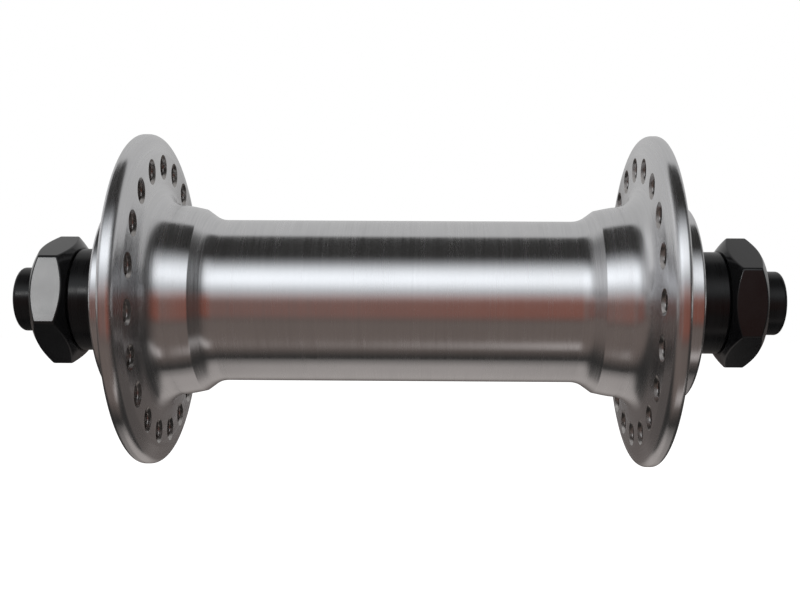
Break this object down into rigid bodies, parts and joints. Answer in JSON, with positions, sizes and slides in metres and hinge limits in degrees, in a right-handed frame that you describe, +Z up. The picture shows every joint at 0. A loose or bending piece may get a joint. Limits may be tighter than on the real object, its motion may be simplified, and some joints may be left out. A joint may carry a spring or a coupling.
{
  "type": "bicycle front hub",
  "caption": "High-flange bicycle front hub for a quick-release skewer: a turned aluminium shell that spins on sealed ball bearings round a hollow black axle with hexagon locknuts.",
  "frame": {"origin": "the hub's centre: on the axle's axis, midway between the locknuts' outer faces", "axes": "+X along the axle towards the right end in the picture, +Y away from the picture's viewer, +Z up"},
  "size_m": [0.107, 0.0462, 0.0464],
  "materials": {
    "shell_aluminium": "fine turned, satin, with circular tool lines",
    "sleeve_aluminium": "plain turned",
    "axle_black": "black, semi-gloss",
    "spacer_black": "black, semi-gloss",
    "nut_black": "black, semi-gloss",
    "ring_steel": "ground",
    "ball_steel": "polished",
    "cage_steel": "pressed sheet",
    "seal_rubber": "matt black"
  },
  "bodies": {
    "axle_assembly": {"axle": "axle_black", "bearing_sleeve": "sleeve_aluminium", "left_inner_ring": "ring_steel", "right_inner_ring": "ring_steel", "left_axle_spacer": "spacer_black", "right_axle_spacer": "spacer_black", "left_locknut": "nut_black", "right_locknut": "nut_black"},
    "hub": {"hub_shell": "shell_aluminium", "left_outer_ring": "ring_steel", "right_outer_ring": "ring_steel", "left_outer_seal": "seal_rubber", "right_outer_seal": "seal_rubber", "left_inner_seal": "seal_rubber", "right_inner_seal": "seal_rubber"},
    "left_ball_cage": {"left_balls": "ball_steel", "left_cage_outer_half": "cage_steel", "left_cage_inner_half": "cage_steel"},
    "right_ball_cage": {"right_balls": "ball_steel", "right_cage_outer_half": "cage_steel", "right_cage_inner_half": "cage_steel"}
  },
  "joints": [
    {"name": "hub_spin", "type": "hinge", "parent": "axle_assembly", "child": "hub", "pos_m": [0, 0, 0], "axis": [1, 0, 0], "continuous": true},
    {"name": "left_cage_spin", "type": "hinge", "parent": "axle_assembly", "child": "left_ball_cage", "pos_m": [-0.03645, 0, 0], "axis": [1, 0, 0], "continuous": true},
    {"name": "right_cage_spin", "type": "hinge", "parent": "axle_assembly", "child": "right_ball_cage", "pos_m": [0.03645, 0, 0], "axis": [1, 0, 0], "continuous": true}
  ],
  "couplings": [
    {"joint": "left_cage_spin", "follows": "hub_spin", "ratio": 0.5992},
    {"joint": "right_cage_spin", "follows": "hub_spin", "ratio": 0.5992}
  ]
}
